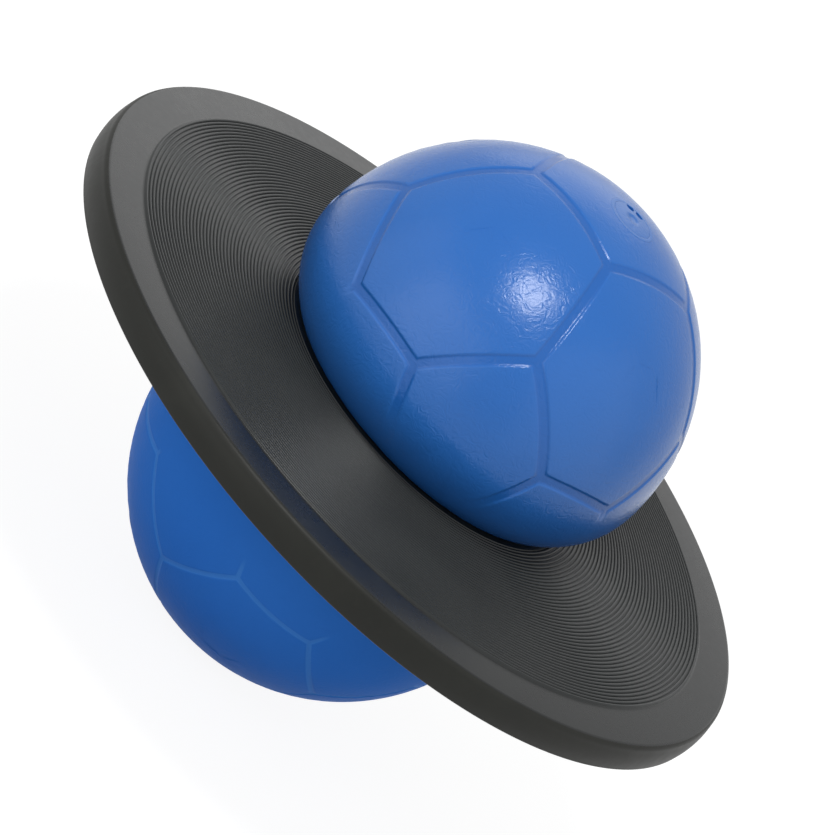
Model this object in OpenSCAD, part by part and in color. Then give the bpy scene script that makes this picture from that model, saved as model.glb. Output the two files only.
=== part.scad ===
// Bouncing balance disc: a two-lobed air ball, gripped at its waist by a round platform with a ribbed tread.
// Every piece is built about the ball's axis. z = 0 is the floor under the lower lobe, and all sizes are in mm.

/* [Ball] */
// Radius of each lobe, which is round from its widest line up to its crown
lobe_r = 98.8; // [92:0.1:110]
// Height of a lobe's middle above the middle of the waist
lobe_h = 47.2; // [43:0.1:54]
// Radius of the shoulder, which turns in from the widest line to the waist
shoulder_r = 42; // [38:0.5:47]
// Thickness of the moulded wall
wall = 4; // [2.5:0.1:6]
// How far the lower crown is flattened by the floor that it stands on
foot_depth = 1.5; // [0.5:0.1:4]

/* [Panel grooves] */
// Depth of the moulded grooves between the panels
groove_depth = 1; // [0.5:0.1:1.6]
// Width of the grooves
groove_w = 6; // [3:0.1:8]
// Distance over the surface from the upper crown to the lowest corners of the upper panels
upper_reach = 144; // [134:1:152]
// Distance over the surface from the lower crown to the highest corners of the lower panels
lower_reach = 127; // [118:1:146]
// Share of the way to the waist at which the last grooves end
fade_share = 0.5; // [0.3:0.05:0.7]
// Turn of the panel pattern about the axis, in degrees
panel_turn = -78; // [-90:0.5:0]

/* [Platform] */
// Radius of the platform at the top edge of its rim
rim_r = 195; // [185:0.5:220]
// Radius of the rim at its lower edge, drawn in so that the moulding leaves its mould
rim_low_r = 193.7; // [184:0.1:219]
// Height of the rim's wall
rim_h = 16.5; // [12:0.5:20]
// Radius of the rounding along the rim's edges
rim_edge_r = 1.2; // [0.6:0.1:1.4]
// Height of the moulded lip along the rim's top edge
rim_lip_h = 1.8; // [1.4:0.1:3]
// How far that lip stands out from the rim's wall
rim_lip = 0.6; // [0.3:0.1:1]
// Height of the hub's top above the top edge of the rim
tread_rise = 4; // [3:0.1:5]
// How far the tread slopes down from the hub to its outer edge
tread_fall = 1.6; // [0.8:0.1:2.2]
// Height of the step from the border up to the tread
tread_step = 1.2; // [0.8:0.1:1.5]
// Thickness of the plate under the tread's grooves
plate_t = 5; // [3.5:0.1:6]
// Thickness of the rim's skirt
skirt_t = 4.5; // [3:0.1:6]

/* [Tread] */
// Outer radius of the ribbed tread
tread_r = 172.4; // [160:0.1:180]
// Radius where the ribs stop and the smooth hub begins
tread_in_r = 84.2; // [83.2:0.1:100]
// Distance from one tread rib to the next
rib_pitch = 2; // [1.6:0.1:3]
// Height of a tread rib
rib_h = 0.8; // [0.4:0.1:1]
// Width of a tread rib at its top
rib_top_w = 0.7; // [0.4:0.1:0.9]
// Width of a tread rib at its foot
rib_foot_w = 1.3; // [1:0.1:1.5]
// Radius of the shallow step between the outer and the inner band of the tread
band_r = 125; // [110:1:140]
// Height of that step
band_step = 0.5; // [0.2:0.1:0.6]

/* [Hub] */
// Radius of the hole that grips the ball's waist
bore_r = 70; // [64:0.5:74]
// Radius of the rounding of the hole's lips
lip_r = 7; // [4:0.5:9]
// Radius of the hub's outside, under the plate
hub_r = 82; // [80:0.5:83]

/* [Underside] */
// Number of radial stiffening ribs
web_count = 36; // [24:1:48]
// Number of round stiffening ribs
ring_count = 2; // [1:1:4]
// Thickness of the stiffening ribs
web_t = 2.5; // [1.5:0.1:4]
// Height of the stiffening ribs' foot above the rim's lower edge
web_foot = 2; // [1:0.1:4]

/* [Valve] */
// Radius of the valve's flange
flange_r = 13; // [12.2:0.1:15]
// Thickness of the valve's flange
flange_t = 3; // [2.6:0.1:3.4]
// Radius of the valve's barrel, where it passes through the ball's wall
barrel_r = 7.5; // [6.5:0.1:9]
// Length of the valve's barrel under its flange
barrel_l = 15; // [12:0.5:20]
// Radius of the bead that holds the barrel inside the wall
bead_r = 9.2; // [9.1:0.1:11]
// Height of that bead
bead_h = 2.5; // [1.5:0.1:4]
// Radius of the boss that thickens the wall round the valve
boss_r = 19; // [16:0.5:22]
// Thickness that the boss adds to the wall
boss_t = 2.5; // [2:0.1:4]
// Radius of the plug's stem
stem_r = 4; // [3:0.1:5]
// Length of the plug's stem
stem_l = 14; // [9:0.5:18]
// Radius of the plug's head
head_r = 10.8; // [9:0.1:11.4]
// Thickness of the plug's head
head_t = 1.6; // [1:0.1:2]
// Length of the taper at the stem's tip
tip_l = 3; // [1:0.5:5]
// Radius of the two notches in the plug's head, which leave a pull tab between them
notch_r = 1.8; // [1:0.1:2.4]
// Angle between the two notches, in degrees
notch_a = 34; // [28:1:60]
// Turn of the pull tab about the axis, in degrees
tab_turn = 102; // [0:1:359]

/* [Fits] */
// Gap between the platform's hub and the ball's waist
seat_gap = 0.3; // [0.2:0.05:0.5]
// Gap round the valve's barrel and flange in the ball's wall
valve_gap = 0.15; // [0.1:0.05:0.3]
// Gap round the plug's stem and head in the valve
plug_gap = 0.25; // [0.15:0.05:0.4]

/* [Hidden] */
$fn = 96;

// The ball's outline: a round lobe that turns into a shoulder
shoulder_x = lobe_r - shoulder_r;
ball_half = lobe_h + lobe_r;
mid_z = ball_half - foot_depth;
beyond = 2 * ball_half;

// Heights in the platform, from the middle of the waist
rim_top = rim_h / 2;
tread_top = rim_top + tread_rise;
hub_half = tread_top;
plate_low = tread_top - tread_fall - rib_h - plate_t;
web_low = web_foot - rim_top;
web_h = plate_low + tread_fall - web_low;
skirt_in_r = rim_low_r - skirt_t;
cut_z = -(hub_half + seat_gap);
web_bite = 1;
groove_past = groove_w / 3;

// The valve, from the middle of the waist
seat_z = ball_half - flange_t - flange_r * flange_r / (2 * lobe_r);
flange_top = seat_z + flange_t;
head_seat = flange_top - head_t;
wall_in_z = ball_half - wall - boss_t;

// Points along an arc, for the small roundings
function arc(c, r, from, to, steps = 4) =
    [for (i = [0 : steps]) let (a = from + (to - from) * i / steps) [c[0] + r * cos(a), c[1] + r * sin(a)]];

// One lobe's outline, drawn in by inset on every side
module lobe_outline(inset) {
    intersection() {
        translate([0, lobe_h])
            circle(lobe_r - inset);
        translate([0, lobe_h])
            square([beyond, beyond]);
    }
    intersection() {
        translate([shoulder_x, lobe_h])
            circle(shoulder_r - inset);
        translate([0, lobe_h - beyond])
            square([beyond, beyond]);
    }
    square([shoulder_x, lobe_h]);
}

// The hub's cross-section with its round lips, grown by grow on every side
module hub_outline(grow) {
    lip_x = bore_r + lip_r;
    lip_z = hub_half - lip_r;
    for (side = [-1, 1])
        translate([lip_x, side * lip_z])
            circle(lip_r + grow);
    translate([bore_r - grow, -lip_z])
        square([beyond, 2 * lip_z]);
    translate([lip_x, -hub_half - grow])
        square([beyond, 2 * (hub_half + grow)]);
}

// The whole ball's outline: two lobes and the neck, shaped to the hub that grips it and flat on the floor
module ball_outline(inset) {
    difference() {
        union() {
            lobe_outline(inset);
            mirror([0, 1])
                lobe_outline(inset);
            translate([0, -lobe_h])
                square([bore_r - inset, 2 * lobe_h]);
        }
        hub_outline(seat_gap + inset);
        translate([0, -mid_z + inset - beyond])
            square([beyond, beyond]);
    }
}

// The ball's panels: five-sided ones round twelve middles, one of them on the crown, and six-sided ones between
ring_a = atan(2);
crown_mid = [0, 0, 1];
function unit(v) = v / norm(v);
function upper_mid(k) = [sin(ring_a) * cos(72 * k), sin(ring_a) * sin(72 * k), cos(ring_a)];
function lower_mid(k) = -upper_mid(k + 3);
function corner(from, to) = unit(2 * from + to);
reach_a = acos(corner(upper_mid(0), upper_mid(1))[2]);

// The grooves of one lobe, as pairs of corners. The last ten run on towards the waist
panel_edges = [for (k = [0 : 4]) each [
    [corner(crown_mid, upper_mid(k)), corner(crown_mid, upper_mid(k + 1))],
    [corner(crown_mid, upper_mid(k)), corner(upper_mid(k), crown_mid)],
    [corner(upper_mid(k), crown_mid), corner(upper_mid(k), upper_mid(k + 1))],
    [corner(upper_mid(k), crown_mid), corner(upper_mid(k), upper_mid(k - 1))],
    [corner(upper_mid(k), upper_mid(k + 1)), corner(upper_mid(k + 1), upper_mid(k))]
]];
fading_edges = [for (k = [0 : 4]) each [
    [corner(upper_mid(k), upper_mid(k + 1)), corner(upper_mid(k), lower_mid(k))],
    [corner(upper_mid(k), upper_mid(k - 1)), corner(upper_mid(k), lower_mid(k - 1))]
]];

// The direction from the lobe's middle of a direction of the panel pattern
function on_lobe(v, reach) =
    let (
        polar = reach / lobe_r * 180 / PI * acos(v[2]) / reach_a,
        turn = atan2(v[1], v[0]) + panel_turn
    ) [sin(polar) * cos(turn), sin(polar) * sin(turn), cos(polar)];

// A flat blade that cuts along the lobe's surface, from direction p to direction q
module groove_blade(p, q) {
    z = unit(p + q);
    x = unit(q - p);
    y = cross(z, x);
    half = acos(p * q) / 2;
    length = 2 * (lobe_r * sin(half) + groove_past);
    low = (lobe_r - groove_depth) * cos(half) - groove_depth;
    multmatrix([[x[0], y[0], z[0], 0], [x[1], y[1], z[1], 0], [x[2], y[2], z[2], lobe_h]])
        translate([-length / 2, -groove_w / 2, low])
            cube([length, groove_w, lobe_r + groove_depth - low]);
}

// All the grooves of one lobe, down to their floor
module panel_grooves(reach) {
    difference() {
        union() {
            for (e = panel_edges)
                groove_blade(on_lobe(e[0], reach), on_lobe(e[1], reach));
            for (e = fading_edges)
                groove_blade(on_lobe(e[0], reach), on_lobe(unit(e[0] + (e[1] - e[0]) * fade_share), reach));
        }
        rotate_extrude()
            lobe_outline(groove_depth);
    }
}

// The ball's wall, from height low to height high
module ball_wall(low, high) {
    intersection() {
        difference() {
            ball_outline(0);
            ball_outline(wall);
        }
        translate([0, low])
            square([beyond, high - low]);
    }
}

module ball_lower() {
    color([0.13, 0.33, 0.66])
        translate([0, 0, mid_z])
            difference() {
                rotate_extrude()
                    ball_wall(-beyond, cut_z);
                rotate([180, 0, 2 * panel_turn + 36])
                    panel_grooves(lower_reach);
            }
}

module ball_upper() {
    color([0.13, 0.33, 0.66])
        translate([0, 0, mid_z])
            difference() {
                union() {
                    rotate_extrude()
                        ball_wall(cut_z, beyond);
                    translate([0, 0, wall_in_z])
                        cylinder(h = boss_t + wall / 4, r = boss_r);
                }
                translate([0, 0, seat_z])
                    cylinder(h = beyond, r = flange_r + valve_gap);
                translate([0, 0, wall_in_z - wall])
                    cylinder(h = beyond, r = barrel_r + valve_gap);
                panel_grooves(upper_reach);
            }
}

// The tread's ribs as a row of points, from its inner edge out to its outer edge
tread_count = floor((tread_r - tread_in_r) / rib_pitch);
rib_start = tread_r - (tread_count - 0.5) * rib_pitch;
function slope_level(r) = tread_top - tread_fall * (r - tread_in_r) / (tread_r - tread_in_r);
function rib_level(r) = slope_level(r) - (r < band_r ? 0 : band_step);
function tread_rib(r) = let (top = rib_level(r)) [
    [r - rib_foot_w / 2, top - rib_h],
    [r - rib_top_w / 2, top],
    [r + rib_top_w / 2, top],
    [r + rib_foot_w / 2, top - rib_h]
];
tread_points = [for (i = [0 : tread_count - 1]) each tread_rib(rib_start + i * rib_pitch)];

// The platform's plate, border and skirt
border_in_z = rib_level(tread_r) - tread_step;
skirt_points = concat(
    [[tread_r, border_in_z]],
    arc([rim_r - rim_edge_r, rim_top - rim_edge_r], rim_edge_r, 84, 0),
    [[rim_r, rim_top - rim_lip_h], [rim_r - rim_lip, rim_top - rim_lip_h]],
    arc([rim_low_r - rim_edge_r, rim_edge_r - rim_top], rim_edge_r, -5, -90),
    arc([skirt_in_r + rim_edge_r, rim_edge_r - rim_top], rim_edge_r, -90, -180),
    [[skirt_in_r, plate_low - band_step]]
);
module plate_outline() {
    polygon(concat(
        [[hub_r - web_bite, plate_low + tread_fall - band_step]],
        [[hub_r - web_bite, tread_top], [tread_in_r, tread_top]],
        [[rib_start - rib_foot_w / 2 - rib_h / 4, tread_top - rib_h]],
        tread_points,
        skirt_points
    ));
}

module platform() {
    color([0.17, 0.18, 0.17])
        translate([0, 0, mid_z]) {
            rotate_extrude() {
                plate_outline();
                intersection() {
                    hub_outline(0);
                    translate([0, -beyond])
                        square([hub_r, 2 * beyond]);
                }
                for (i = [1 : ring_count])
                    translate([hub_r + (skirt_in_r - hub_r) * i / (ring_count + 1) - web_t / 2, web_low])
                        square([web_t, web_h]);
            }
            for (i = [0 : web_count - 1])
                rotate([0, 0, i * 360 / web_count])
                    translate([hub_r - web_bite, -web_t / 2, web_low])
                        cube([skirt_in_r - hub_r + 2 * web_bite, web_t, web_h]);
        }
}

module valve_sleeve() {
    color([0.10, 0.26, 0.55])
        translate([0, 0, mid_z])
            difference() {
                union() {
                    translate([0, 0, seat_z])
                        cylinder(h = flange_t, r = flange_r);
                    translate([0, 0, seat_z - barrel_l])
                        cylinder(h = barrel_l, r = barrel_r);
                    translate([0, 0, wall_in_z - bead_h])
                        cylinder(h = bead_h, r1 = barrel_r, r2 = bead_r);
                }
                translate([0, 0, head_seat])
                    cylinder(h = beyond, r = head_r + plug_gap);
                translate([0, 0, seat_z - 2 * barrel_l])
                    cylinder(h = beyond, r = stem_r + plug_gap);
            }
}

module valve_plug() {
    color([0.12, 0.29, 0.60])
        translate([0, 0, mid_z + head_seat])
            difference() {
                union() {
                    cylinder(h = head_t, r = head_r);
                    translate([0, 0, tip_l - stem_l])
                        cylinder(h = stem_l - tip_l, r = stem_r);
                    translate([0, 0, -stem_l])
                        cylinder(h = tip_l, r1 = stem_r / 2, r2 = stem_r);
                }
                for (side = [-1, 1])
                    rotate([0, 0, tab_turn + side * notch_a / 2])
                        translate([head_r, 0, -head_t])
                            cylinder(h = 3 * head_t, r = notch_r);
            }
}

ball_lower();
ball_upper();
platform();
valve_sleeve();
valve_plug();
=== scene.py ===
"""Looks of a bouncing balance disc: a two-lobed air ball, gripped at its waist by a ribbed rubber platform.

All sizes are in metres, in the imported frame: +Z runs up the ball's axis and z = 0 is the floor under it.
"""
import logging
import math
from collections.abc import Callable
from dataclasses import dataclass
from enum import Enum
from typing import Any

import bpy
import numpy as np
from mathutils import Matrix, Vector
from mathutils.kdtree import KDTree


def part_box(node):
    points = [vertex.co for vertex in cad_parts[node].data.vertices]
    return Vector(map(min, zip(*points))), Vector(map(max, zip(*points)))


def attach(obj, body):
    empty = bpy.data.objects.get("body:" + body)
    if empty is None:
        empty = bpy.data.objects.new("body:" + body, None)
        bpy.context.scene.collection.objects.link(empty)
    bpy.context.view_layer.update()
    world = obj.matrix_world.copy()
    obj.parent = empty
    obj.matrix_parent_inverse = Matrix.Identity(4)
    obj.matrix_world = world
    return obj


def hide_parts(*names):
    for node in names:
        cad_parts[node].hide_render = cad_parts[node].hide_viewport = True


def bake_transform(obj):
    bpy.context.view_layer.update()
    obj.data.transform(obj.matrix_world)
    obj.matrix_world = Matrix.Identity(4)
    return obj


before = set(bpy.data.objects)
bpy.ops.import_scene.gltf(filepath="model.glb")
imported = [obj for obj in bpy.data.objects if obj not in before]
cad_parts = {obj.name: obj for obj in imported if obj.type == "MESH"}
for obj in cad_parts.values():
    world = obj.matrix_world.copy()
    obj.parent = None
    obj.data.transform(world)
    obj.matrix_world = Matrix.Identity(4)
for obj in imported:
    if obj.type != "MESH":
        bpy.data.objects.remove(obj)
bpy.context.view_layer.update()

LOG = logging.getLogger("balance_disc")
MM = 0.001
FULL_TURN = 2 * math.pi
WELD = 1e-6
NOISE_MIDDLE = 0.5
# Name of the stored groove share, which drives the painted shade and light in the grooves.
GROOVE = "groove"
Point = tuple[float, float]
Span = tuple[float, float]
Rgb = tuple[float, float, float]
Direction = tuple[float, float, float]


class Slot(Enum):
    """The record's material slots."""

    BALL = "ball"
    PLATFORM = "platform"
    VALVE = "valve"
    PLUG = "plug"


class Body(Enum):
    """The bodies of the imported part."""

    LOWER_LOBE = "lower_lobe"
    UPPER_BALL = "upper_ball"
    PLATFORM = "platform"
    PLUG = "plug"


def arc(centre: Point, radius: float, first: float, last: float, steps: int = 4) -> list[Point]:
    """Points along an arc of a profile.

    Args:
        centre: The arc's middle, as distance from the axis and height.
        radius: The arc's radius.
        first: Angle of the first point, in degrees from straight out, upwards.
        last: Angle of the last point.
        steps: Number of stretches.

    Returns:
        The points, first to last.
    """
    angles = [math.radians(first + (last - first) * i / steps) for i in range(steps + 1)]
    return [(centre[0] + radius * math.cos(a), centre[1] + radius * math.sin(a)) for a in angles]


def eased(value: np.ndarray, start: float, full: float) -> np.ndarray:
    """A soft step.

    Args:
        value: The values to judge.
        start: The value up to which the step is 0.
        full: The value from which it is 1.

    Returns:
        One share per value, from 0 to 1.
    """
    share = np.clip((value - start) / (full - start), 0, 1)
    return share * share * (3 - 2 * share)


class Bench:
    """The hand work that every piece shares: starting, picking, drawing, turning and smoothing."""

    @staticmethod
    def clear() -> None:
        """Leaves edit mode and deselects everything."""
        if bpy.context.mode != "OBJECT":
            bpy.ops.object.mode_set(mode="OBJECT")
        bpy.ops.object.select_all(action="DESELECT")

    @staticmethod
    def take(name: str) -> bpy.types.Object:
        """Names the primitive that was added last.

        Args:
            name: The name of the piece and of its mesh.

        Returns:
            The piece.
        """
        piece = bpy.context.active_object
        piece.name = name
        piece.data.name = name
        return piece

    @staticmethod
    def blank(name: str) -> bpy.types.Object:
        """Starts an empty piece, ready to draw in.

        Args:
            name: The piece's name.

        Returns:
            The new piece, in edit mode.
        """
        Bench.clear()
        bpy.ops.mesh.primitive_plane_add(size=MM, location=(0, 0, 0))
        piece = Bench.take(name)
        bpy.ops.object.mode_set(mode="EDIT")
        bpy.ops.mesh.select_mode(type="VERT")
        bpy.ops.mesh.delete(type="VERT")
        return piece

    @staticmethod
    def places(piece: bpy.types.Object) -> np.ndarray:
        """Leaves edit mode and reads where the piece's vertices lie.

        Args:
            piece: The piece, which is active.

        Returns:
            A row of x, y and z for each vertex.
        """
        bpy.ops.object.mode_set(mode="OBJECT")
        places = np.zeros(len(piece.data.vertices) * 3)
        piece.data.vertices.foreach_get("co", places)
        return places.reshape(-1, 3)

    @staticmethod
    def move(piece: bpy.types.Object, places: np.ndarray) -> None:
        """Moves the piece's vertices, in object mode, to places as rows."""
        piece.data.vertices.foreach_set("co", places.ravel())
        piece.data.update()

    @staticmethod
    def merge(within: float) -> None:
        """Selects everything that is drawn, in edit mode, and merges vertices that lie this close."""
        bpy.ops.mesh.select_all(action="SELECT")
        bpy.ops.mesh.remove_doubles(threshold=within)

    @staticmethod
    def pick_edges(piece: bpy.types.Object, mask: np.ndarray) -> None:
        """Selects edges in edit mode.

        Args:
            piece: The piece, which is active.
            mask: One truth value per edge.
        """
        bpy.ops.object.mode_set(mode="EDIT")
        bpy.ops.mesh.select_mode(type="EDGE")
        bpy.ops.mesh.select_all(action="DESELECT")
        bpy.ops.object.mode_set(mode="OBJECT")
        piece.data.edges.foreach_set("select", mask.astype(bool))
        bpy.ops.object.mode_set(mode="EDIT")

    @staticmethod
    def draw(points: list[Point]) -> None:
        """Draws a closed profile in edit mode, by extruding a vertex from point to point.

        Args:
            points: Distances from the axis and heights.
        """
        bpy.ops.mesh.primitive_plane_add(size=MM, location=(points[0][0], 0, points[0][1]))
        bpy.ops.mesh.merge(type="CENTER")
        for (r, z), (next_r, next_z) in zip(points, points[1:] + points[:1]):
            step = (next_r - r, 0, next_z - z)
            bpy.ops.mesh.extrude_region_move(TRANSFORM_OT_translate={"value": step})

    @staticmethod
    def turn(steps: int) -> None:
        """Spins everything that is drawn about the axis into a closed skin that faces outwards.

        Args:
            steps: Number of stretches round the axis.
        """
        Bench.merge(WELD)
        bpy.ops.mesh.spin(steps=steps, angle=FULL_TURN, center=(0, 0, 0), axis=(0, 0, 1))
        Bench.merge(WELD)
        bpy.ops.mesh.normals_make_consistent(inside=False)

    @staticmethod
    def cut(piece: bpy.types.Object, radius: float, place: Vector, depth: float, sides: int) -> None:
        """Cuts an upright round hole or notch with a Boolean modifier.

        Args:
            piece: The piece to cut.
            radius: The hole's radius.
            place: Middle of the hole's floor.
            depth: Height of the cutter above that floor.
            sides: Number of sides of the cutter.
        """
        Bench.clear()
        centre = place + Vector((0, 0, depth / 2))
        bpy.ops.mesh.primitive_cylinder_add(vertices=sides, radius=radius, depth=depth, location=centre)
        cutter = bpy.context.active_object
        modifier = piece.modifiers.new("cut", "BOOLEAN")
        modifier.object = cutter
        modifier.solver = "EXACT"
        bpy.context.view_layer.objects.active = piece
        bpy.ops.object.modifier_apply(modifier=modifier.name)
        bpy.data.objects.remove(cutter)

    @staticmethod
    def smooth(piece: bpy.types.Object, degrees: float) -> None:
        """Shades the piece smooth, apart from its creases.

        Args:
            piece: The piece.
            degrees: The angle between faces past which an edge is a crease.
        """
        Bench.clear()
        piece.select_set(True)
        bpy.context.view_layer.objects.active = piece
        bpy.ops.object.shade_smooth_by_angle(angle=math.radians(degrees))


class Value:
    """A shader socket that takes part in Python arithmetic."""

    def __init__(self, sheet: "NodeSheet", socket: bpy.types.NodeSocket) -> None:
        """Wraps an output socket of a node on a sheet."""
        self.sheet = sheet
        self.socket = socket

    def _maths(self, operation: str, first: Any, second: Any) -> "Value":
        """Adds a Math node on two values."""
        return self.sheet.node("ShaderNodeMath", {"operation": operation}, {0: first, 1: second})

    def __add__(self, other: Any) -> "Value":
        """This value plus another."""
        return self._maths("ADD", self, other)

    def __radd__(self, other: Any) -> "Value":
        """Another value plus this one."""
        return self._maths("ADD", other, self)

    def __sub__(self, other: Any) -> "Value":
        """This value less another."""
        return self._maths("SUBTRACT", self, other)

    def __rsub__(self, other: Any) -> "Value":
        """Another value less this one."""
        return self._maths("SUBTRACT", other, self)

    def __mul__(self, other: Any) -> "Value":
        """This value times another."""
        return self._maths("MULTIPLY", self, other)

    def __rmul__(self, other: Any) -> "Value":
        """Another value times this one."""
        return self._maths("MULTIPLY", other, self)

    def __abs__(self) -> "Value":
        """This value without its sign."""
        return self._maths("ABSOLUTE", self, 0.0)

    def highest(self, other: Any) -> "Value":
        """The larger of this value and another."""
        return self._maths("MAXIMUM", self, other)

    def between(self, low: float, high: float) -> "Value":
        """0 below low, 1 above high and a smooth step in between."""
        settings = {"interpolation_type": "SMOOTHSTEP"}
        return self.sheet.node("ShaderNodeMapRange", settings, {0: self, 1: low, 2: high})


@dataclass(frozen=True)
class Noise:
    """A noise pattern: its cells in a metre, its finer layers, and how far it is stirred."""

    cells: float
    layers: float = 2.0
    stir: float = 0.0


class NodeSheet:
    """The node tree of one material or of the world."""

    def __init__(self, tree: bpy.types.NodeTree) -> None:
        """Empties the tree."""
        self.tree = tree
        tree.nodes.clear()

    @classmethod
    def material(cls, name: str) -> tuple[bpy.types.Material, "NodeSheet"]:
        """Makes a material.

        Args:
            name: The material's name.

        Returns:
            The material and the empty sheet of its nodes.
        """
        material = bpy.data.materials.new(name)
        material.use_nodes = True
        return material, cls(material.node_tree)

    def node(self, kind: str, settings: dict | None = None, sockets: dict | None = None,
             out: int | str = 0) -> Value:
        """Adds any node.

        Args:
            kind: The node's type.
            settings: The node's own settings, set before its sockets.
            sockets: Values or links of its inputs, by name or number.
            out: The output that is returned, by name or number.

        Returns:
            That output, or the node itself where it has no outputs.
        """
        made = self.tree.nodes.new(kind)
        for key, value in (settings or {}).items():
            setattr(made, key, value)
        for key, value in (sockets or {}).items():
            if isinstance(value, Value):
                self.tree.links.new(value.socket, made.inputs[key])
            else:
                made.inputs[key].default_value = value
        return Value(self, made.outputs[out]) if made.outputs else made

    def place(self) -> Value:
        """The Object coordinates."""
        return self.node("ShaderNodeTexCoord", out="Object")

    def noise(self, pattern: Noise) -> Value:
        """A noise over the Object coordinates.

        Args:
            pattern: Its cells, layers and stir.

        Returns:
            Its value, about NOISE_MIDDLE.
        """
        sockets = {"Vector": self.place(), "Scale": pattern.cells, "Detail": pattern.layers,
                   "Distortion": pattern.stir}
        return self.node("ShaderNodeTexNoise", None, sockets)

    def blend(self, share: Value, first: Any, second: Any) -> Value:
        """A colour between two colours.

        Args:
            share: 0 for the first colour and 1 for the second.
            first: A colour or a link.
            second: A colour or a link.

        Returns:
            The mixed colour.
        """
        settings = {"data_type": "RGBA"}
        return self.node("ShaderNodeMix", settings, {0: share, 6: first, 7: second}, out=2)

    def attribute(self, name: str) -> Value:
        """A number that is stored on the piece's vertices."""
        return self.node("ShaderNodeAttribute", {"attribute_name": name}, out="Fac")

    def seen(self) -> Value:
        """Tells what is seen from what only gives light.

        Returns:
            1 for rays from the camera and for rays that a gloss or a clear skin sends on, and 0 for others.
        """
        names = ("Is Camera Ray", "Is Glossy Ray", "Is Transmission Ray")
        camera, gloss, clear = (self.node("ShaderNodeLightPath", out=name) for name in names)
        return camera.highest(gloss).highest(clear)

    def bump(self, height: Value, depth: float, strength: float) -> Value:
        """A normal that shows a fine relief of a depth, at a share of its full strength."""
        sockets = {"Strength": strength, "Distance": depth, "Height": height}
        return self.node("ShaderNodeBump", None, sockets)

    def skin(self, colour: Value, roughness: Value, normal: Value, specular: float) -> None:
        """Adds the shader of a solid skin and the material's output.

        Args:
            colour: The base colour.
            roughness: How far reflections are spread.
            normal: The normal with its relief.
            specular: How strong reflections are.
        """
        shader = self.node("ShaderNodeBsdfPrincipled", None, {
            "Base Color": colour, "Roughness": roughness, "Normal": normal, "Specular IOR Level": specular})
        self.node("ShaderNodeOutputMaterial", None, {"Surface": shader})


def rgba(colour: Rgb) -> tuple[float, float, float, float]:
    """A colour with full cover."""
    return (*colour, 1.0)


@dataclass(frozen=True)
class SoftPvc:
    """Semi-gloss soft PVC with a fine moulded grain, and a painted colour in any grooves: painted shade
    where it is darker than the PVC, painted light where it is lighter.
    """

    name: str
    colour: Rgb
    pale: Rgb
    roughness: float
    specular: float
    # Colour painted into the grooves by their stored share: darker is painted shade, lighter is painted
    # light; it is not a colour the PVC has.
    groove: Rgb | None = None
    groove_span: Span = (0.2, 0.7)
    cloud: Noise = Noise(11.0, 3.0)
    cloud_span: Span = (0.32, 0.72)
    wear: Noise = Noise(42.0, 4.0, 0.6)
    wear_swing: float = 0.10
    grain: Noise = Noise(195.0, 1.0, 1.5)
    grain_depth: float = 0.26 * MM
    grain_strength: float = 0.5
    pores: Noise = Noise(799.5)
    pore_share: float = 0.25

    def make(self) -> bpy.types.Material:
        """Makes the material.

        Returns:
            The material with its nodes.
        """
        material, sheet = NodeSheet.material(self.name)
        clouded = sheet.noise(self.cloud).between(*self.cloud_span)
        colour = sheet.blend(clouded, rgba(self.colour), rgba(self.pale))
        # Blends in the groove colour by the stored groove share: painted shade in darker grooves, painted
        # light in lighter ones.
        if self.groove:
            groove_shading_share = sheet.attribute(GROOVE).between(*self.groove_span)
            colour = sheet.blend(groove_shading_share, colour, rgba(self.groove))
        roughness = self.roughness + self.wear_swing * (sheet.noise(self.wear) - NOISE_MIDDLE)
        worms = 1.0 - abs(2.0 * sheet.noise(self.grain) - 1.0)
        relief = worms + self.pore_share * sheet.noise(self.pores)
        normal = sheet.bump(relief, self.grain_depth, self.grain_strength)
        sheet.skin(colour, roughness, normal, self.specular)
        return material


@dataclass(frozen=True)
class MouldedRubber:
    """Dull black rubber, a little cloudy and dusty, with the fine texture of its mould."""

    name: str
    colour: Rgb
    bloom: Rgb
    roughness: float
    specular: float
    cloud: Noise = Noise(16.0, 4.0, 0.8)
    cloud_span: Span = (0.35, 0.75)
    cloud_swing: float = 0.16
    dust: Noise = Noise(260.0, 3.0)
    dust_span: Span = (0.55, 0.75)
    dust_share: float = 0.35
    dust_swing: float = 0.10
    texture: Noise = Noise(900.0, 3.0)
    texture_depth: float = 0.05 * MM
    texture_strength: float = 0.4

    def make(self) -> bpy.types.Material:
        """Makes the material.

        Returns:
            The material with its nodes.
        """
        material, sheet = NodeSheet.material(self.name)
        cloud, dust = sheet.noise(self.cloud), sheet.noise(self.dust)
        clouded = sheet.blend(cloud.between(*self.cloud_span), rgba(self.colour), rgba(self.bloom))
        dusty = sheet.blend(self.dust_share * dust.between(*self.dust_span), clouded, rgba(self.bloom))
        cloudy = self.roughness + self.cloud_swing * (cloud - NOISE_MIDDLE)
        roughness = cloudy + self.dust_swing * (dust - NOISE_MIDDLE)
        normal = sheet.bump(sheet.noise(self.texture), self.texture_depth, self.texture_strength)
        sheet.skin(dusty, roughness, normal, self.specular)
        return material


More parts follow.
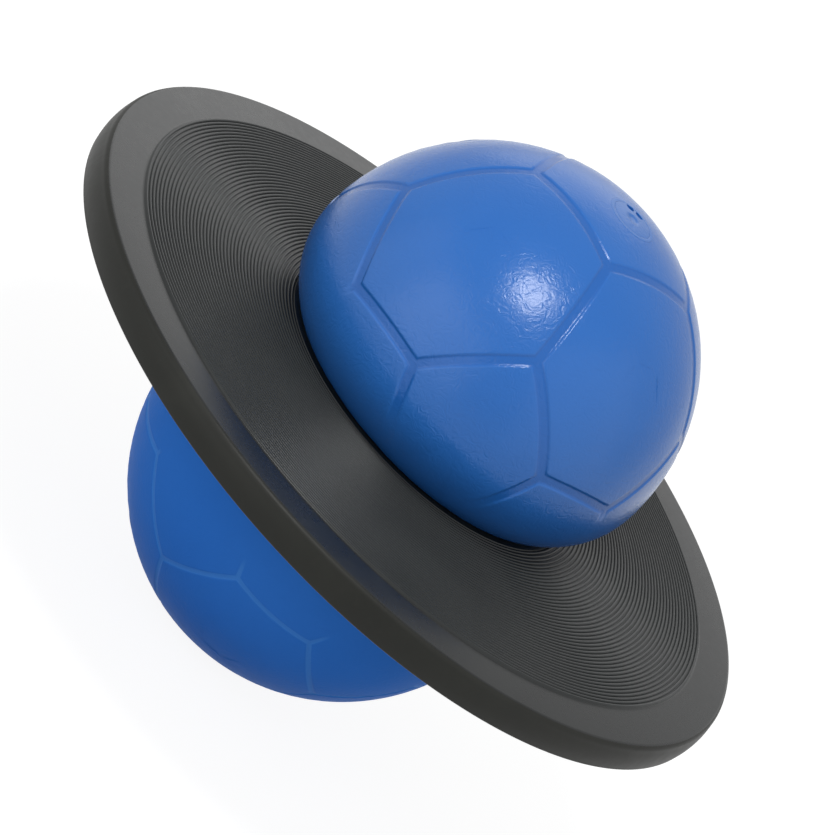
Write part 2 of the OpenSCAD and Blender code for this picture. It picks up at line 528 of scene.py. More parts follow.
@dataclass(frozen=True)
class StudioPaper:
    """Pale paper, which the camera sees as white apart from the object's shadow."""

    name: str
    bounce: float
    glow: float
    sheet_white: float

    def make(self) -> bpy.types.Material:
        """Makes the material.

        Returns:
            The material with its nodes.
        """
        material, sheet = NodeSheet.material(self.name)
        plain = sheet.node("ShaderNodeBsdfDiffuse", None, {"Color": rgba((self.bounce,) * 3)})
        paper = sheet.node("ShaderNodeBsdfDiffuse", None, {"Color": rgba((self.sheet_white,) * 3)})
        glow = sheet.node("ShaderNodeEmission", None, {"Strength": self.glow})
        shown = sheet.node("ShaderNodeAddShader", None, {0: paper, 1: glow})
        mixed = sheet.node("ShaderNodeMixShader", None, {0: sheet.seen(), 1: plain, 2: shown})
        sheet.node("ShaderNodeOutputMaterial", None, {"Surface": mixed})
        return material


# The upper lobe's groove colour is darker than its colour: painted shade in the grooves, standing for their
# own shadow and their lost sheen.
BALL_PVC = SoftPvc(
    "ball_pvc", colour=(0.019, 0.129, 0.452), pale=(0.024, 0.143, 0.480),
    roughness=0.24, specular=0.35, groove=(0.014, 0.113, 0.415))
# The lower lobe's copy of the ball's PVC: its low gloss is wear from the ground, and its colour is painted
# lighter than the ball's as painted light on the shaded lower lobe; its groove colour is lighter again,
# painted light in the lower grooves.
WORN_PVC_PAINTED_LIGHT = SoftPvc(
    "ball_pvc_worn_painted_light", colour=(0.030, 0.180, 0.665), pale=(0.035, 0.193, 0.690),
    roughness=0.5, specular=0.03, groove=(0.055, 0.238, 0.720))
VALVE_PVC = SoftPvc(
    "valve_pvc", colour=(0.013, 0.126, 0.450), pale=(0.017, 0.140, 0.475),
    roughness=0.30, specular=0.38)
PLUG_PVC = SoftPvc(
    "plug_pvc", colour=(0.013, 0.124, 0.445), pale=(0.017, 0.138, 0.470),
    roughness=0.30, specular=0.38)
RUBBER = MouldedRubber(
    "platform_rubber", colour=(0.0092, 0.0115, 0.0116), bloom=(0.0150, 0.0175, 0.0174),
    roughness=0.38, specular=0.35)
BORDER_RUBBER = MouldedRubber(
    "border_rubber", colour=(0.0085, 0.0098, 0.0100), bloom=(0.0140, 0.0156, 0.0156),
    roughness=0.29, specular=0.31)
RIM_RUBBER = MouldedRubber(
    "rim_rubber", colour=(0.0108, 0.0114, 0.0092), bloom=(0.0165, 0.0172, 0.0140),
    roughness=0.5, specular=0.24)
PAPER = StudioPaper("studio_paper", bounce=0.48, glow=0.90, sheet_white=0.22)


def dress(piece: bpy.types.Object, slot: Slot, *finishes: SoftPvc | MouldedRubber) -> None:
    """Gives a piece its materials, the first of them on all its faces.

    Args:
        piece: The piece.
        slot: Not used; the record's slot that the piece stands for.
        finishes: The finishes of its materials.
    """
    piece.data.materials.clear()
    for finish in finishes:
        piece.data.materials.append(finish.make())


def paint(piece: bpy.types.Object, finish: SoftPvc | MouldedRubber,
          chosen: Callable[[Vector, Vector], bool]) -> None:
    """Gives the chosen faces another of the piece's materials.

    Args:
        piece: The piece, in object mode.
        finish: The finish of one of its materials.
        chosen: Says of a face's middle and normal whether it is chosen.
    """
    index = piece.data.materials.find(finish.name)
    for face in piece.data.polygons:
        if chosen(face.center, face.normal):
            face.material_index = index


@dataclass
class Waist:
    """Where the ball and the platform meet, as the frame has them."""

    mid_z: float
    hub_half: float
    bore_r: float = 70.0 * MM
    lip_r: float = 7.0 * MM
    gap: float = 0.6 * MM

    @classmethod
    def from_frame(cls) -> "Waist":
        """Reads the waist's height and the hub's half height from the platform's box."""
        low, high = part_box("platform")
        return cls(mid_z=(low.z + high.z) / 2, hub_half=(high.z - low.z) / 2)

    @property
    def lip_x(self) -> float:
        """Distance of the lips' middle from the axis."""
        return self.bore_r + self.lip_r

    @property
    def lip_z(self) -> float:
        """Height of the upper lip's middle above the waist's middle."""
        return self.hub_half - self.lip_r


@dataclass(frozen=True)
class Groove:
    """A soft groove between panels: its section, and how it fades out towards the waist."""

    depth: float
    half: float
    wall: float
    fade: Span

    def share(self, aside: np.ndarray, up: np.ndarray) -> np.ndarray:
        """How far points are pressed in.

        Args:
            aside: Distances from the groove's middle.
            up: Heights from the waist's middle, towards the crown.

        Returns:
            One share per point, from 0 to 1.
        """
        low, full = self.fade
        faded = np.clip((up - low) / (full - low), 0, 1)
        return eased(self.half - aside, 0, self.wall) * faded


@dataclass
class PanelBall:
    """The two-lobed air ball, with its moulded pattern of five- and six-sided panels."""

    waist: Waist
    lobe_r: float
    foot_depth: float = 1.5 * MM
    shoulder_r: float = 42.0 * MM
    upper_reach: float = 151.0 * MM
    lower_reach: float = 127.0 * MM
    panel_turn: float = math.radians(-77.5)
    lean_x: float = math.radians(-3.2)
    lean_y: float = math.radians(-1.2)
    lean_span: Span = (0.22, 0.5)
    upper_groove: Groove = Groove(depth=0.65 * MM, half=3.2 * MM, wall=1.6 * MM, fade=(26.0 * MM, 50.0 * MM))
    lower_groove: Groove = Groove(depth=0.40 * MM, half=1.8 * MM, wall=1.2 * MM, fade=(60.0 * MM, 76.0 * MM))
    seam_steps: int = 8
    edge_cuts: int = 13
    groove_rows: tuple[float, ...] = (0.4 * MM,) + (0.3 * MM,) * 4 + (0.25 * MM,) * 6 + (0.4 * MM,)
    panel_row: float = 3.9 * MM
    panel_rows: int = 5
    waist_rings: tuple[float, ...] = tuple(up * MM for up in (0, 3, 6, 8, 10, 12, 14.5, 17.5, 21, 25))
    weld: float = 0.05 * MM
    seat_r: float = 13.03 * MM
    seat_depth: float = 3.9 * MM
    seat_cut: float = 15.6 * MM
    seat_sides: int = 64
    crease: float = 42.0

    @classmethod
    def from_frame(cls, waist: Waist) -> "PanelBall":
        """Reads the lobes' radius from the lower lobe's box."""
        return cls(waist=waist, lobe_r=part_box("ball_lower")[1].x)

    @property
    def lobe_h(self) -> float:
        """Height of a lobe's middle above the waist's middle."""
        return self.waist.mid_z - (self.lobe_r - self.foot_depth)

    @property
    def shoulder_x(self) -> float:
        """Distance of the shoulder's middle from the axis."""
        return self.lobe_r - self.shoulder_r

    @property
    def shoulder_turn(self) -> float:
        """Angle of the shoulder's arc, from the lobe's widest place to the neck."""
        return math.acos((self.waist.bore_r - self.waist.gap - self.shoulder_x) / self.shoulder_r)

    @property
    def neck_z(self) -> float:
        """Height of the straight neck above the waist's middle."""
        return self.lobe_h - self.shoulder_r * math.sin(self.shoulder_turn)

    @property
    def crown_run(self) -> float:
        """Length of a lobe's outline, from its crown to its widest place."""
        return self.lobe_r * math.pi / 2

    @property
    def half_run(self) -> float:
        """Length of a lobe's outline, from its crown to the middle of the waist."""
        return self.crown_run + self.shoulder_turn * self.shoulder_r + self.neck_z

    def outline(self, run: np.ndarray) -> tuple[np.ndarray, np.ndarray]:
        """A lobe's outline, from its crown over the shoulder to the middle of the waist.

        Args:
            run: Distances from the crown, along the outline.

        Returns:
            Distances from the axis, and heights above the waist's middle.
        """
        on_crown = run < self.crown_run
        crown_a = run / self.lobe_r
        shoulder_a = np.clip((run - self.crown_run) / self.shoulder_r, 0, self.shoulder_turn)
        down = np.clip(run - self.crown_run - self.shoulder_turn * self.shoulder_r, 0, self.neck_z)
        r = np.where(on_crown, self.lobe_r * np.sin(crown_a),
                     self.shoulder_x + self.shoulder_r * np.cos(shoulder_a))
        z = np.where(on_crown, self.lobe_h + self.lobe_r * np.cos(crown_a),
                     self.lobe_h - self.shoulder_r * np.sin(shoulder_a) - down)
        return self.pressed(r, z)

    def pressed(self, r: np.ndarray, z: np.ndarray) -> tuple[np.ndarray, np.ndarray]:
        """Presses the hub's round lip and its flat top into an outline, with a gap.

        Args:
            r: Distances from the axis.
            z: Heights above the waist's middle.

        Returns:
            The same, pressed.
        """
        reach = self.waist.lip_r + self.waist.gap
        out, up = r - self.waist.lip_x, z - self.waist.lip_z
        length = np.maximum(np.hypot(out, up), WELD)
        inside = (length < reach) & (up > 0)
        grow = np.where(inside, reach / length, 1.0)
        pressed_r, pressed_z = self.waist.lip_x + out * grow, self.waist.lip_z + up * grow
        over_hub = pressed_r > self.waist.lip_x
        lifted_z = np.maximum(pressed_z, self.waist.hub_half + self.waist.gap)
        return pressed_r, np.where(over_hub, lifted_z, pressed_z)

    def build(self) -> bpy.types.Object:
        """Models the ball as one skin.

        Returns:
            The finished piece.
        """
        piece = self.football()
        self.add_waist_rings(piece)
        self.wrap(piece)
        seams = self.seam_tree(piece)
        self.press_grooves(piece, seams)
        self.stand(piece)
        seat_z = self.waist.mid_z + self.lobe_h + self.lobe_r - self.seat_depth
        Bench.cut(piece, self.seat_r, Vector((0, 0, seat_z)), self.seat_cut, self.seat_sides)
        self.mark_grooves(piece, seams)
        Bench.smooth(piece, self.crease)
        return piece

    def football(self) -> bpy.types.Object:
        """Models a ball of twelve five-sided and twenty six-sided panels, each filled with rows of faces.

        Returns:
            The ball, with flat panels and with its seams marked.
        """
        Bench.clear()
        bpy.ops.mesh.primitive_ico_sphere_add(subdivisions=1, radius=self.lobe_r, location=(0, 0, 0))
        piece = Bench.take("ball_skin")
        bpy.ops.object.mode_set(mode="EDIT")
        bpy.ops.mesh.select_all(action="SELECT")
        third_of_edge = 100 / 3
        bpy.ops.mesh.bevel(offset_type="PERCENT", offset_pct=third_of_edge, affect="VERTICES")
        bpy.ops.mesh.select_mode(type="FACE")
        bpy.ops.mesh.select_all(action="SELECT")
        for width in self.groove_rows + (self.panel_row,) * self.panel_rows:
            bpy.ops.mesh.inset(thickness=width, depth=0, use_individual=True)
        bpy.ops.mesh.poke()
        level = np.linalg.norm(Bench.places(piece), axis=1)
        ends = np.array([edge.vertices[:] for edge in piece.data.edges])
        Bench.pick_edges(piece, (level[ends] > level.max() - WELD).all(axis=1))
        bpy.ops.mesh.mark_seam()
        Bench.pick_edges(piece, np.abs(level[ends[:, 0]] - level[ends[:, 1]]) < WELD)
        bpy.ops.mesh.subdivide(number_cuts=self.edge_cuts)
        return piece

    @property
    def corner_a(self) -> float:
        """Angle from the crown to the panel corners that end the upper lobe's pattern."""
        return math.acos((2 * self.ring_middle(0) + self.ring_middle(1)).normalized().z)

    def runs(self, reach: float) -> tuple[list[float], list[float]]:
        """Matching angles on the round ball and runs on a lobe, for a reach of the pattern."""
        return [0, self.corner_a, math.pi / 2], [0, reach, self.half_run]

    def add_waist_rings(self, piece: bpy.types.Object) -> None:
        """Pushes the faces out onto a sphere and cuts level rings into them, which the waist needs.

        Args:
            piece: The ball with flat panels.
        """
        places = Bench.places(piece)
        Bench.move(piece, places * (self.lobe_r / np.linalg.norm(places, axis=1)[:, None]))
        bpy.ops.object.mode_set(mode="EDIT")
        for side, reach in ((1, self.upper_reach), (-1, self.lower_reach)):
            angles, runs = self.runs(reach)
            for up in self.waist_rings:
                height = self.lobe_r * math.cos(np.interp(self.half_run - up, runs, angles))
                bpy.ops.mesh.select_all(action="SELECT")
                bpy.ops.mesh.bisect(plane_co=(0, 0, side * height), plane_no=(0, 0, 1))
        bpy.ops.object.mode_set(mode="OBJECT")

    def wrap(self, piece: bpy.types.Object) -> None:
        """Wraps the round ball's panels over the two lobes, down to the middle of the waist.

        Args:
            piece: The round ball.
        """
        places = self.leaned(Bench.places(piece) / self.lobe_r)
        upper = places[:, 2] >= 0
        polar = np.arccos(np.clip(np.abs(places[:, 2]), 0, 1))
        run = np.where(upper, np.interp(polar, *self.runs(self.upper_reach)),
                       np.interp(polar, *self.runs(self.lower_reach)))
        r, z = self.outline(run)
        around = np.arctan2(places[:, 1], places[:, 0])
        side = np.where(upper, 1, -1)
        wrapped = (r * np.cos(around), r * np.sin(around), self.waist.mid_z + side * z)
        Bench.move(piece, np.column_stack(wrapped))

    def leaned(self, places: np.ndarray) -> np.ndarray:
        """Turns the round ball's pattern about the axis, and leans its upper half as the real ball sits.

        Args:
            places: Points on a ball of radius 1, as rows.

        Returns:
            The points after that, still on the ball.
        """
        turned = places @ np.array(Matrix.Rotation(self.panel_turn, 3, "Z")).T
        lean = Matrix.Rotation(self.lean_x, 3, "X") @ Matrix.Rotation(self.lean_y, 3, "Y")
        share = eased(turned[:, 2], *self.lean_span)[:, None]
        mixed = turned * (1 - share) + (turned @ np.array(lean).T) * share
        return mixed / np.linalg.norm(mixed, axis=1)[:, None]

    @staticmethod
    def ring_middle(k: int) -> Vector:
        """Middle of one of the five-sided panels in the ring round the crown."""
        polar, turn = math.atan(2), FULL_TURN * k / 5
        return Vector((math.sin(polar) * math.cos(turn), math.sin(polar) * math.sin(turn), math.cos(polar)))

    def seam_tree(self, piece: bpy.types.Object) -> KDTree:
        """Gathers close points along all seams between panels, for finding the nearest one.

        Args:
            piece: The wrapped ball.

        Returns:
            The points, sorted by place.
        """
        places = Bench.places(piece)
        ends = np.array([edge.vertices[:] for edge in piece.data.edges if edge.use_seam])
        steps = np.linspace(0, 1, self.seam_steps, endpoint=False)[:, None, None]
        points = (places[ends[:, 0]] * (1 - steps) + places[ends[:, 1]] * steps).reshape(-1, 3)
        tree = KDTree(len(points))
        for i, point in enumerate(points):
            tree.insert(point, i)
        tree.balance()
        return tree

    def grooved(self, places: np.ndarray, seams: KDTree) -> tuple[np.ndarray, np.ndarray]:
        """Where points lie in the grooves.

        Args:
            places: The points, as rows.
            seams: Points along the seams.

        Returns:
            How far each point is pressed in, from 0 to 1, and how deep that is.
        """
        aside = np.array([seams.find(place)[2] for place in places])
        height = places[:, 2] - self.waist.mid_z
        upper, lower = self.upper_groove.share(aside, height), self.lower_groove.share(aside, -height)
        return upper + lower, upper * self.upper_groove.depth + lower * self.lower_groove.depth

    def press_grooves(self, piece: bpy.types.Object, seams: KDTree) -> None:
        """Presses the soft grooves in along the seams.

        Args:
            piece: The wrapped ball.
            seams: Points along the seams.
        """
        bpy.ops.object.mode_set(mode="EDIT")
        Bench.merge(self.weld)
        bpy.ops.mesh.normals_make_consistent(inside=False)
        places = Bench.places(piece)
        normals = np.zeros(places.size)
        piece.data.vertex_normals.foreach_get("vector", normals)
        depth = self.grooved(places, seams)[1]
        Bench.move(piece, places - normals.reshape(-1, 3) * depth[:, None])

    def on_lower_lobe(self, middle: Vector, _normal: Vector) -> bool:
        """Whether a face lies on the lower lobe, which the ground dulls and whose colour carries painted
        light.
        """
        return middle.z < self.waist.mid_z

    def stand(self, piece: bpy.types.Object) -> None:
        """Flattens the lower crown where it stands on the floor.

        Args:
            piece: The grooved ball.
        """
        bpy.ops.object.mode_set(mode="EDIT")
        bpy.ops.mesh.select_all(action="SELECT")
        bpy.ops.mesh.bisect(plane_co=(0, 0, 0), plane_no=(0, 0, 1), clear_inner=True, use_fill=True)
        bpy.ops.object.mode_set(mode="OBJECT")

    def mark_grooves(self, piece: bpy.types.Object, seams: KDTree) -> None:
        """Stores on each vertex how far it lies in a groove, from 0 to 1, which the materials read to paint
        shade and light into the grooves.

        Args:
            piece: The finished ball.
            seams: Points along the seams.
        """
        share = self.grooved(Bench.places(piece), seams)[0]
        store = piece.data.attributes.new(GROOVE, "FLOAT", "POINT")
        store.data.foreach_set("value", share.astype(np.float32))


@dataclass
class Platform:
    """The round rubber platform: hub, ribbed tread, plain border, rim and stiffening webs underneath."""

    waist: Waist
    rim_r: float
    rim_low_r: float = 194.2 * MM
    rim_h: float = 16.5 * MM
    edge_r: float = 1.2 * MM
    low_edge_from: float = -15.0
    top_edge_r: float = 3.0 * MM
    top_edge_span: Span = (84.0, 12.0)
    top_edge_steps: int = 6
    lip_steps: int = 8
    wall_bulge: float = 0.8 * MM
    wall_steps: int = 8
    plate_t: float = 5.0 * MM
    skirt_t: float = 4.5 * MM
    tread_r: float = 172.4 * MM
    tread_in_r: float = 84.2 * MM
    tread_fall: float = 1.9 * MM
    tread_step: float = 1.2 * MM
    border_drop: float = 0.15 * MM
    border_tilt: float = 0.9
    rib_pitch: float = 2.0 * MM
    rib_h: float = 0.8 * MM
    rib_top_w: float = 1.0 * MM
    rib_foot_w: float = 1.45 * MM
    rib_flat: float = 1 / 3
    rib_round: float = 1 / 6
    band_r: float = 125.0 * MM
    band_step: float = 0.2 * MM
    band_ribs: float = 3.0
    hub_r: float = 82.0 * MM
    web_count: int = 36
    ring_count: int = 2
    web_t: float = 2.5 * MM
    web_foot: float = 2.0 * MM
    web_edge: float = 0.5 * MM
    web_edge_steps: int = 2
    turn_steps: int = 264
    crease: float = 50.0

    @classmethod
    def from_frame(cls, waist: Waist) -> "Platform":
        """Reads the rim's radius from the platform's box."""
        return cls(waist=waist, rim_r=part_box("platform")[1].x)

    @property
    def rim_top(self) -> float:
        """Height of the rim's top edge above the waist's middle."""
        return self.rim_h / 2

    @property
    def plate_low(self) -> float:
        """Height of the plate's underside at the skirt, above the waist's middle."""
        return self.level(self.tread_r) - self.rib_h - self.plate_t

    @property
    def hub_low(self) -> float:
        """Height of the plate's underside at the hub, above the waist's middle."""
        return self.plate_low + self.tread_fall

    @property
    def skirt_in_r(self) -> float:
        """Inner radius of the rim's skirt."""
        return self.rim_low_r - self.skirt_t

    def level(self, r: float) -> float:
        """Height of the tread's top, which slopes down from the hub with a soft step.

        Args:
            r: Distance from the axis.

        Returns:
            The height above the waist's middle.
        """
        slope = self.tread_fall * (r - self.tread_in_r) / (self.tread_r - self.tread_in_r)
        over = (r - self.band_r) / (self.band_ribs * self.rib_pitch) + 0.5
        return self.waist.hub_half - slope - self.band_step * min(max(over, 0), 1)

    def tread(self) -> list[Point]:
        """Draws the tread's ribs with their round crowns.

        Returns:
            Their points, from the inner edge out.
        """
        count = math.floor((self.tread_r - self.tread_in_r) / self.rib_pitch)
        foot, crown = self.rib_foot_w / 2, self.rib_top_w / 2
        flat = crown * self.rib_flat
        points = []
        for i in range(count):
            r = self.tread_r - (count - 0.5 - i) * self.rib_pitch
            top = self.level(r)
            low, side = top - self.rib_h, top - self.rib_h * self.rib_round
            points += [(r - foot, low), (r - crown, side), (r - flat, top),
                       (r + flat, top), (r + crown, side), (r + foot, low)]
        return points

    def profile(self) -> list[Point]:
        """Draws the platform's cross-section.

        Returns:
            Its points, from the hub's upper lip over the tread and the rim and back underneath.
        """
        waist, edge, half = self.waist, self.edge_r, self.waist.hub_half
        border_in = self.level(self.tread_r) - self.tread_step
        rim_in, round_r = self.rim_r - self.wall_bulge, self.top_edge_r
        wall_top, wall_low = self.rim_top - round_r, edge - self.rim_top
        hub_top = arc((waist.lip_x, waist.lip_z), waist.lip_r, 180, 90, self.lip_steps)
        hub_top += [(self.tread_in_r, half)]
        rim = [(self.tread_r, border_in), (self.tread_r + edge, border_in - self.border_drop)]
        rim += arc((rim_in - round_r, wall_top), round_r, *self.top_edge_span, self.top_edge_steps)
        rim += self.wall((rim_in, wall_top), (self.rim_low_r, wall_low))
        rim += arc((self.rim_low_r - edge, wall_low), edge, self.low_edge_from, -90)
        rim += arc((self.skirt_in_r + edge, wall_low), edge, -90, -180)
        under = arc((self.skirt_in_r - edge, self.plate_low - edge), edge, 0, 90)
        under += arc((self.hub_r + edge, self.hub_low - edge), edge, 90, 180)
        hub_low = arc((self.hub_r - edge, edge - half), edge, 0, -90)
        hub_low += arc((waist.lip_x, -waist.lip_z), waist.lip_r, 270, 180, self.lip_steps)
        return hub_top + self.tread() + rim + under + hub_low

    def wall(self, top: Point, low: Point) -> list[Point]:
        """Draws the rim's outer wall, a little full in its middle.

        Args:
            top: Its upper end.
            low: Its lower end.

        Returns:
            Its points, from the top down.
        """
        points = []
        for step in range(self.wall_steps + 1):
            share = step / self.wall_steps
            bulge = 4 * self.wall_bulge * share * (1 - share)
            points.append((top[0] + (low[0] - top[0]) * share + bulge, top[1] + (low[1] - top[1]) * share))
        return points

    def on_border(self, middle: Vector, normal: Vector) -> bool:
        """Whether a face lies on the plain border round the tread."""
        return normal.z >= self.border_tilt and middle.xy.length > self.tread_r

    def on_wall(self, middle: Vector, normal: Vector) -> bool:
        """Whether a face lies on the rim's rounded edge and outer wall, or underneath the platform."""
        outside = middle.xy.length > self.skirt_in_r or middle.z < self.waist.mid_z + self.hub_low
        return outside and normal.z < self.border_tilt

    def raised(self, points: list[Point]) -> list[Point]:
        """Moves a profile from the waist's middle to its height in the frame."""
        return [(r, z + self.waist.mid_z) for r, z in points]

    def build(self) -> bpy.types.Object:
        """Models the platform.

        Returns:
            The finished piece.
        """
        piece = Bench.blank("platform_moulding")
        Bench.draw(self.raised(self.profile()))
        web_low, web_top = self.web_foot - self.rim_top, self.hub_low + self.web_edge
        span = self.skirt_in_r - self.hub_r
        for i in range(1, self.ring_count + 1):
            r = self.hub_r + span * i / (self.ring_count + 1)
            half, low = self.web_t / 2, web_low + self.web_edge
            ring = arc((r - half + self.web_edge, low), self.web_edge, 180, 270)
            ring += arc((r + half - self.web_edge, low), self.web_edge, 270, 360)
            Bench.draw(self.raised(ring + [(r + half, web_top), (r - half, web_top)]))
        Bench.turn(self.turn_steps)
        self.add_webs(web_low, web_top)
        bpy.ops.object.mode_set(mode="OBJECT")
        Bench.smooth(piece, self.crease)
        return piece

    def add_webs(self, low: float, top: float) -> None:
        """Adds the radial stiffening webs: one is shaped, then copied round the axis.

        Args:
            low: Height of their foot above the waist's middle.
            top: Height of their top, inside the plate.
        """
        bite = self.web_edge
        first, last = self.hub_r - bite, self.skirt_in_r + bite
        bpy.ops.mesh.select_all(action="DESELECT")
        bpy.ops.mesh.primitive_cube_add(
            size=1, location=((first + last) / 2, 0, self.waist.mid_z + (low + top) / 2),
            scale=(last - first, self.web_t, top - low))
        bpy.ops.mesh.bevel(offset=self.web_edge, segments=self.web_edge_steps, affect="EDGES")
        share = (self.web_count - 1) / self.web_count
        bpy.ops.mesh.spin(steps=self.web_count - 1, angle=FULL_TURN * share, dupli=True,
                          center=(0, 0, 0), axis=(0, 0, 1))


@dataclass
class Valve:
    """The air valve on the crown: a sleeve set into the wall, and the plug that closes it."""

    seat_z: float
    top_z: float
    flange_r: float
    tip_z: float
    barrel_r: float = 7.5 * MM
    head_r: float = 10.8 * MM
    head_t: float = 1.6 * MM
    head_rings: int = 6
    flange_t: float = 3.0 * MM
    stem_r: float = 4.0 * MM
    tip_l: float = 3.0 * MM
    plug_gap: float = 0.06 * MM
    floor_gap: float = 0.05 * MM
    notch_r: float = 2.2 * MM
    notch_in: float = 1.3 * MM
    notch_under: float = 1.0 * MM
    notch_cut: float = 4.0 * MM
    notch_sides: int = 24
    notch_a: float = math.radians(34)
    tab_turn: float = math.radians(102)
    edge_r: float = 0.08 * MM
    dome: float = 0.6 * MM
    dimple_r: float = 3.2 * MM
    dimple_depth: float = 0.4 * MM
    dimple_bend: tuple[Point, ...] = ((0.8, 0.25), (0.5, 0.0))
    turn_steps: int = 64
    crease: float = 45.0

    @classmethod
    def from_frame(cls) -> "Valve":
        """Reads the sleeve's and the plug's places from their boxes."""
        low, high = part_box("valve_sleeve")
        return cls(seat_z=low.z, top_z=high.z, flange_r=high.x, tip_z=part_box("valve_plug")[0].z)

    def crown(self, r: float) -> float:
        """Height of the flange's and the head's rounded top, which carries on the ball's own curve."""
        return self.top_z + self.dome * (1 - (r / self.flange_r) ** 2)

    def turned(self, name: str, points: list[Point]) -> bpy.types.Object:
        """Turns a profile about the axis.

        Args:
            name: The name of the new piece.
            points: The profile.

        Returns:
            The piece, in object mode.
        """
        piece = Bench.blank(name)
        Bench.draw(points)
        Bench.turn(self.turn_steps)
        Bench.clear()
        return piece

    def sleeve(self) -> bpy.types.Object:
        """Models the sleeve with its flange.

        Returns:
            The finished piece.
        """
        edge, top, pocket = self.edge_r, self.top_z, self.head_r + self.plug_gap
        floor = top - self.head_t - self.floor_gap
        bore, foot = self.stem_r + self.plug_gap, top - self.flange_t
        points = [(bore, self.seat_z), (self.barrel_r, self.seat_z)]
        points += [(self.barrel_r, foot), (self.flange_r, foot)]
        points += arc((self.flange_r - edge, top - edge), edge, 0, 90)
        points += arc((pocket + edge, self.crown(pocket) - edge), edge, 90, 180)
        points += [(pocket, floor), (bore, floor)]
        piece = self.turned("valve_ring", points)
        Bench.smooth(piece, self.crease)
        return piece

    def plug(self) -> bpy.types.Object:
        """Models the plug with its dimpled head and the two notches beside its pull tab.

        Returns:
            The finished piece.
        """
        edge, under = self.edge_r, self.top_z - self.head_t
        points = [(WELD, self.tip_z), (self.stem_r / 2, self.tip_z)]
        points += [(self.stem_r, self.tip_z + self.tip_l), (self.stem_r, under), (self.head_r, under)]
        points += arc((self.head_r - edge, self.crown(self.head_r) - edge), edge, 0, 90)
        points += [(r, self.crown(r)) for r in np.linspace(self.head_r, self.dimple_r, self.head_rings)[1:]]
        floor = self.crown(self.dimple_r) - self.dimple_depth
        points += [(self.dimple_r * out, floor + self.dimple_depth * up) for out, up in self.dimple_bend]
        piece = self.turned("valve_stopper", points + [(WELD, floor)])
        r = self.head_r - self.notch_in
        for side in (-1, 1):
            turn = self.tab_turn + side * self.notch_a / 2
            place = Vector((r * math.cos(turn), r * math.sin(turn), under - self.notch_under))
            Bench.cut(piece, self.notch_r, place, self.notch_cut, self.notch_sides)
        Bench.smooth(piece, self.crease)
        return piece


@dataclass(frozen=True)
class Softbox:
    """A square soft lamp that looks at the object."""

    name: str
    direction: Direction
    distance: float
    size: float
    watts: float

    def add(self, target: Vector) -> bpy.types.Object:
        """Places the lamp.

        Args:
            target: The point that it looks at.

        Returns:
            The lamp.
        """
        lamp = bpy.data.lights.new(self.name, "AREA")
        lamp.size = self.size
        lamp.energy = self.watts
        box = bpy.data.objects.new(self.name, lamp)
        away = Vector(self.direction).normalized()
        box.location = target + away * self.distance
        box.rotation_euler = away.to_track_quat("Z", "Y").to_euler()
        bpy.context.scene.collection.objects.link(box)
        return box


@dataclass(frozen=True)
class PhotoCamera:
    """The camera of the photograph, found from the rim's ellipse and the lobes' outlines."""

    elevation: float = math.radians(22.340)
    roll: float = math.radians(47.356)
    distance: float = 3.6513
    aside: float = -2.21 * MM
    above: float = -2.12 * MM
    focal_px: float = 8000.0
    image_px: float = 835.0
    sensor: float = 36.0
    reach: float = 100.0

    def add(self, waist_middle: Vector) -> None:
        """Places the camera and makes it the scene's.

        Args:
            waist_middle: Middle of the waist, which the picture shows a little off its own middle.
        """
        camera = bpy.data.cameras.new("photo_camera")
        camera.sensor_width = self.sensor
        camera.lens = self.sensor * self.focal_px / self.image_px
        camera.clip_end = self.reach
        turn = Matrix.Rotation(math.pi / 2 - self.elevation, 3, "X") @ Matrix.Rotation(self.roll, 3, "Z")
        right, up, back = (turn.col[i] for i in range(3))
        stand = bpy.data.objects.new("photo_camera", camera)
        stand.location = waist_middle - right * self.aside - up * self.above + back * self.distance
        stand.rotation_euler = turn.to_euler()
        bpy.context.scene.collection.objects.link(stand)
        bpy.context.scene.camera = stand


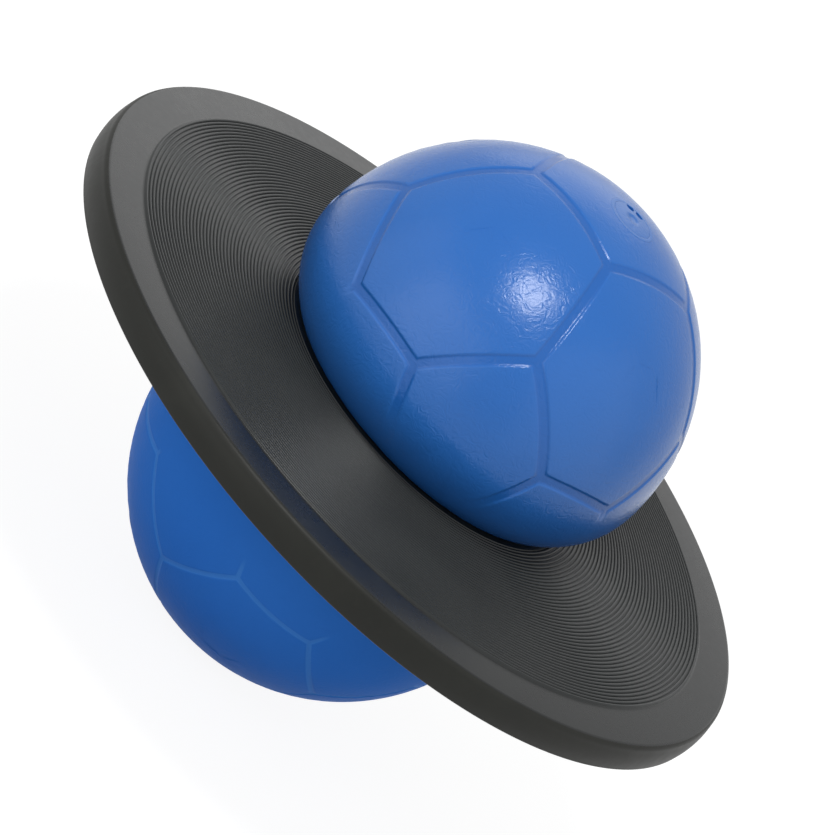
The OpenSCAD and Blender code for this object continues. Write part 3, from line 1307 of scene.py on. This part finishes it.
@dataclass(frozen=True)
class Studio:
    """The pale floor, the soft light and the plain white surroundings."""

    floor_size: float = 60.0
    ambient: float = 0.46
    white: float = 1.0
    lamps: tuple[Softbox, ...] = (
        Softbox("key_softbox", (-0.110, -0.440, 0.890), distance=1.7, size=0.46, watts=14.5),
        Softbox("left_fill", (-0.84, -0.541, 0.10), distance=1.8, size=2.2, watts=8.0),
        Softbox("front_fill", (-0.45, -0.89, 0.06), distance=2.3, size=2.4, watts=18.0),
        Softbox("right_fill", (0.82, -0.36, 0.42), distance=2.0, size=2.4, watts=8.0),
        Softbox("back_light", (-0.25, 0.84, 0.48), distance=2.0, size=1.2, watts=3.0),
    )

    def build(self, target: Vector) -> None:
        """Sets up the floor, the lamps and the world.

        Args:
            target: The point that the lamps look at.
        """
        Bench.clear()
        bpy.ops.mesh.primitive_plane_add(size=self.floor_size, location=(0, 0, 0))
        floor = Bench.take("studio_floor")
        floor.data.materials.append(PAPER.make())
        for lamp in self.lamps:
            lamp.add(target)
        world = bpy.data.worlds.new("studio_white")
        world.use_nodes = True
        sheet = NodeSheet(world.node_tree)
        strength = self.ambient + (self.white - self.ambient) * sheet.seen()
        background = sheet.node("ShaderNodeBackground", None, {"Strength": strength})
        sheet.node("ShaderNodeOutputWorld", None, {"Surface": background})
        bpy.context.scene.world = world
        bpy.context.scene.view_settings.view_transform = "Standard"


def made(step: Callable[[], bpy.types.Object]) -> bpy.types.Object:
    """Builds a piece and reports it.

    Args:
        step: Models the piece.

    Returns:
        The piece.
    """
    piece = step()
    LOG.info("%s: %d vertices, %d faces", piece.name, len(piece.data.vertices), len(piece.data.polygons))
    return piece


def main() -> None:
    """Builds the ball, the platform, the valve and the studio."""
    logging.basicConfig(level=logging.INFO, format="%(name)s %(message)s")
    waist = Waist.from_frame()
    ball, platform, valve = PanelBall.from_frame(waist), Platform.from_frame(waist), Valve.from_frame()

    skin = made(ball.build)
    dress(skin, Slot.BALL, BALL_PVC, WORN_PVC_PAINTED_LIGHT)
    # The lower lobe takes the dull copy whose lighter colour is painted light.
    paint(skin, WORN_PVC_PAINTED_LIGHT, ball.on_lower_lobe)
    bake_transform(skin)
    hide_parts("ball_lower", "ball_upper")

    moulding = made(platform.build)
    dress(moulding, Slot.PLATFORM, RUBBER, BORDER_RUBBER, RIM_RUBBER)
    paint(moulding, BORDER_RUBBER, platform.on_border)
    paint(moulding, RIM_RUBBER, platform.on_wall)
    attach(moulding, Body.PLATFORM.value)
    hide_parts("platform")

    ring = made(valve.sleeve)
    dress(ring, Slot.VALVE, VALVE_PVC)
    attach(ring, Body.UPPER_BALL.value)
    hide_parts("valve_sleeve")

    stopper = made(valve.plug)
    dress(stopper, Slot.PLUG, PLUG_PVC)
    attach(stopper, Body.PLUG.value)
    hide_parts("valve_plug")

    waist_middle = Vector((0, 0, waist.mid_z))
    Studio().build(waist_middle)
    PhotoCamera().add(waist_middle)


if __name__ == "__main__":
    main()
